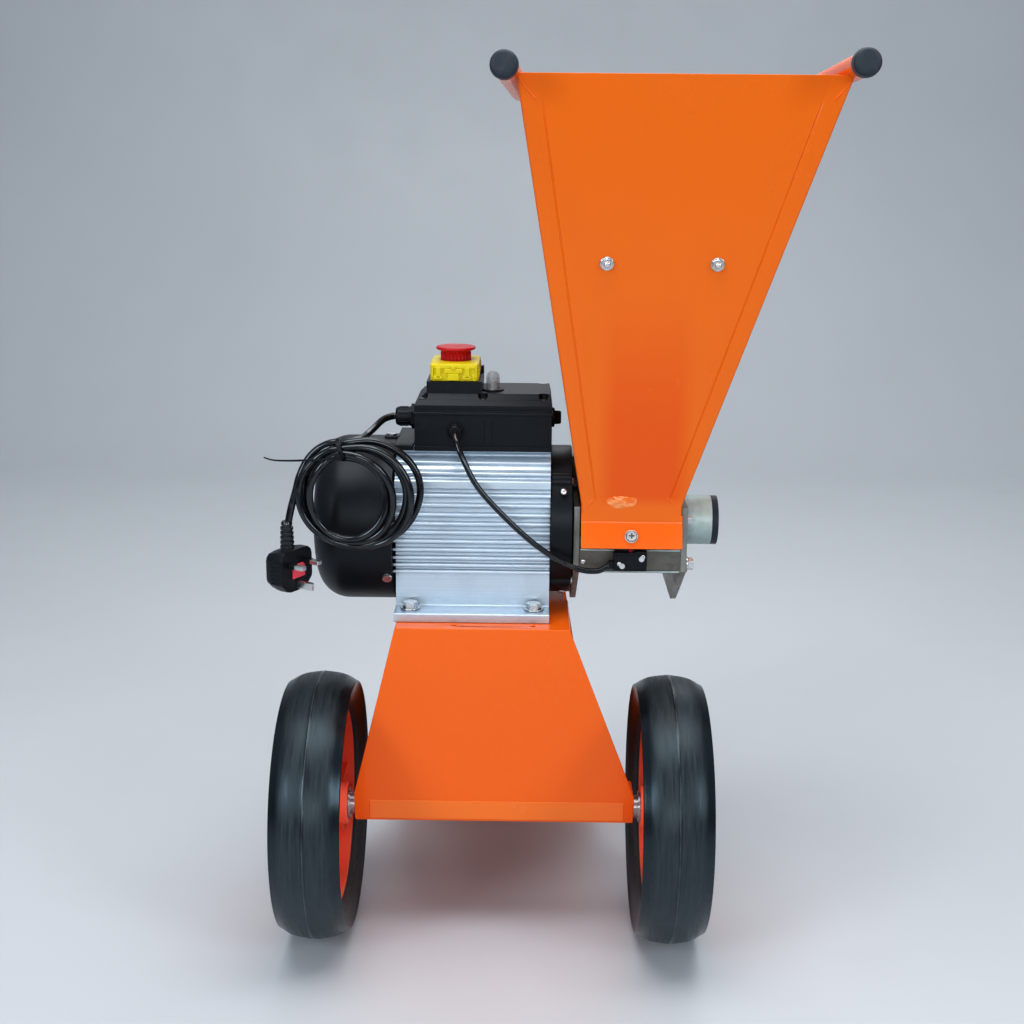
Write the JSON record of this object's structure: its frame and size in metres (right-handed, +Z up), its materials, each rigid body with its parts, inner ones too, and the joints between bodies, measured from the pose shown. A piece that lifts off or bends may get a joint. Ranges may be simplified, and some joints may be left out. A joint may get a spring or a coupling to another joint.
{
  "type": "wood chipper",
  "caption": "Wheeled electric drum wood chipper with tall flared feed hopper, side motor, switch box and coiled mains lead.",
  "frame": {"origin": "Centre of the resting face of the front foot bar, at ground level.", "axes": "+Z up, +Y towards the chip discharge and away from the operator, +X to the operator's right, along the axle and the rotor."},
  "size_m": [0.53, 0.415, 0.8239],
  "materials": {
    "orange_paint": "glossy orange powder coat",
    "black_paint": "satin black paint",
    "bright_steel": "ground steel",
    "zinc_plate": "bright zinc plated fastener",
    "zinc_sheet": "dull zinc plated steel sheet",
    "dark_steel": "hardened tool steel",
    "tyre_rubber": "smooth solid rubber with a faint sheen",
    "red_plastic": "moulded red plastic",
    "ribbed_aluminium": "plain extruded aluminium",
    "lamination_steel": "stacked lamination edges",
    "copper_winding": "varnished copper wire",
    "black_plastic": "moulded black plastic",
    "soft_rubber": "moulded rubber",
    "cable_rubber": "flexible black cable sheath",
    "white_plastic": "moulded off-white plastic",
    "yellow_plastic": "moulded yellow plastic",
    "green_plastic": "moulded green plastic",
    "clear_boot": "clear flexible cover"
  },
  "bodies": {
    "frame": {"base_frame": "orange_paint", "axle_channel": "orange_paint", "front_foot": "black_paint", "axle": "bright_steel", "axle_collars": "zinc_plate", "axle_nuts": "zinc_plate", "motor_housing": "ribbed_aluminium", "stator_core": "lamination_steel", "stator_windings": "copper_winding", "drive_end_shield": "black_paint", "fan_end_shield": "black_paint", "fan_cover": "black_plastic", "motor_screws": "zinc_plate", "motor_foot_bolts": "zinc_plate", "bearing_outer_rings": "bright_steel", "side_plates": "zinc_sheet", "cross_plate": "zinc_sheet", "anvil_bar": "dark_steel", "drum_casing": "zinc_sheet", "housing_bolts": "zinc_plate", "bearing_tube": "zinc_sheet", "tube_cap": "soft_rubber", "discharge_chute": "orange_paint", "micro_switch": "black_plastic", "safety_lead": "cable_rubber", "hinge_rod": "zinc_plate", "junction_box": "black_plastic", "box_lid": "black_plastic", "lid_screws": "zinc_plate", "capacitors": "white_plastic", "cable_glands": "black_plastic", "switch_body": "black_plastic", "reset_boot": "clear_boot", "mains_cable": "cable_rubber", "plug_body": "black_plastic", "plug_pins": "zinc_plate"},
    "left_wheel": {"left_tyre": "tyre_rubber", "left_hub": "red_plastic"},
    "right_wheel": {"right_tyre": "tyre_rubber", "right_hub": "red_plastic"},
    "rotor": {"motor_shaft": "bright_steel", "rotor_core": "lamination_steel", "cooling_fan": "black_plastic", "bearing_inner_rings": "bright_steel", "chipper_drum": "dark_steel", "drum_knives": "bright_steel", "knife_bolts": "bright_steel"},
    "hopper_unit": {"hopper": "orange_paint", "handle_tubes": "orange_paint", "handle_caps": "soft_rubber", "flap_hanger": "zinc_plate", "clamp_bolt": "zinc_plate"},
    "flap": {"chip_flap": "soft_rubber"},
    "plunger": {"switch_plunger": "red_plastic"},
    "cover": {"stop_cover": "yellow_plastic"},
    "mushroom": {"stop_mushroom": "red_plastic"},
    "stop": {"stop_button": "red_plastic"},
    "start": {"start_button": "green_plastic"},
    "reset": {"reset_button": "white_plastic"}
  },
  "joints": [
    {"name": "left_wheel_spin", "type": "hinge", "parent": "frame", "child": "left_wheel", "pos_m": [-0.16675, -0.268, 0.127], "axis": [1, 0, 0], "continuous": true},
    {"name": "right_wheel_spin", "type": "hinge", "parent": "frame", "child": "right_wheel", "pos_m": [0.16675, -0.268, 0.127], "axis": [1, 0, 0], "continuous": true},
    {"name": "rotor_spin", "type": "hinge", "parent": "frame", "child": "rotor", "pos_m": [0.126, -0.175, 0.39], "axis": [1, 0, 0], "continuous": true},
    {"name": "hopper_tilt", "type": "hinge", "parent": "frame", "child": "hopper_unit", "pos_m": [0.126, -0.116, 0.434], "axis": [-1, 0, 0], "range_deg": [0, 75]},
    {"name": "flap_swing", "type": "hinge", "parent": "hopper_unit", "child": "flap", "pos_m": [0.144, -0.2575, 0.6455], "axis": [-1, 0, 0], "range_deg": [0, 40]},
    {"name": "plunger_press", "type": "slide", "parent": "frame", "child": "plunger", "axis": [0, 0, -1], "range_m": [0, 0.0015]},
    {"name": "cover_open", "type": "hinge", "parent": "frame", "child": "cover", "pos_m": [-0.041, -0.147, 0.5335], "axis": [-1, 0, 0], "range_deg": [0, 95]},
    {"name": "mushroom_press", "type": "slide", "parent": "cover", "child": "mushroom", "axis": [0, 0, -1], "range_m": [0, 0.004]},
    {"name": "stop_press", "type": "slide", "parent": "frame", "child": "stop", "axis": [0, 0, -1], "range_m": [0, 0.004]},
    {"name": "start_press", "type": "slide", "parent": "frame", "child": "start", "axis": [0, 0, -1], "range_m": [0, 0.003]},
    {"name": "reset_press", "type": "slide", "parent": "frame", "child": "reset", "axis": [0, 0, -1], "range_m": [0, 0.0025]}
  ],
  "couplings": [
    {"joint": "stop_press", "follows": "mushroom_press", "ratio": 1}
  ]
}
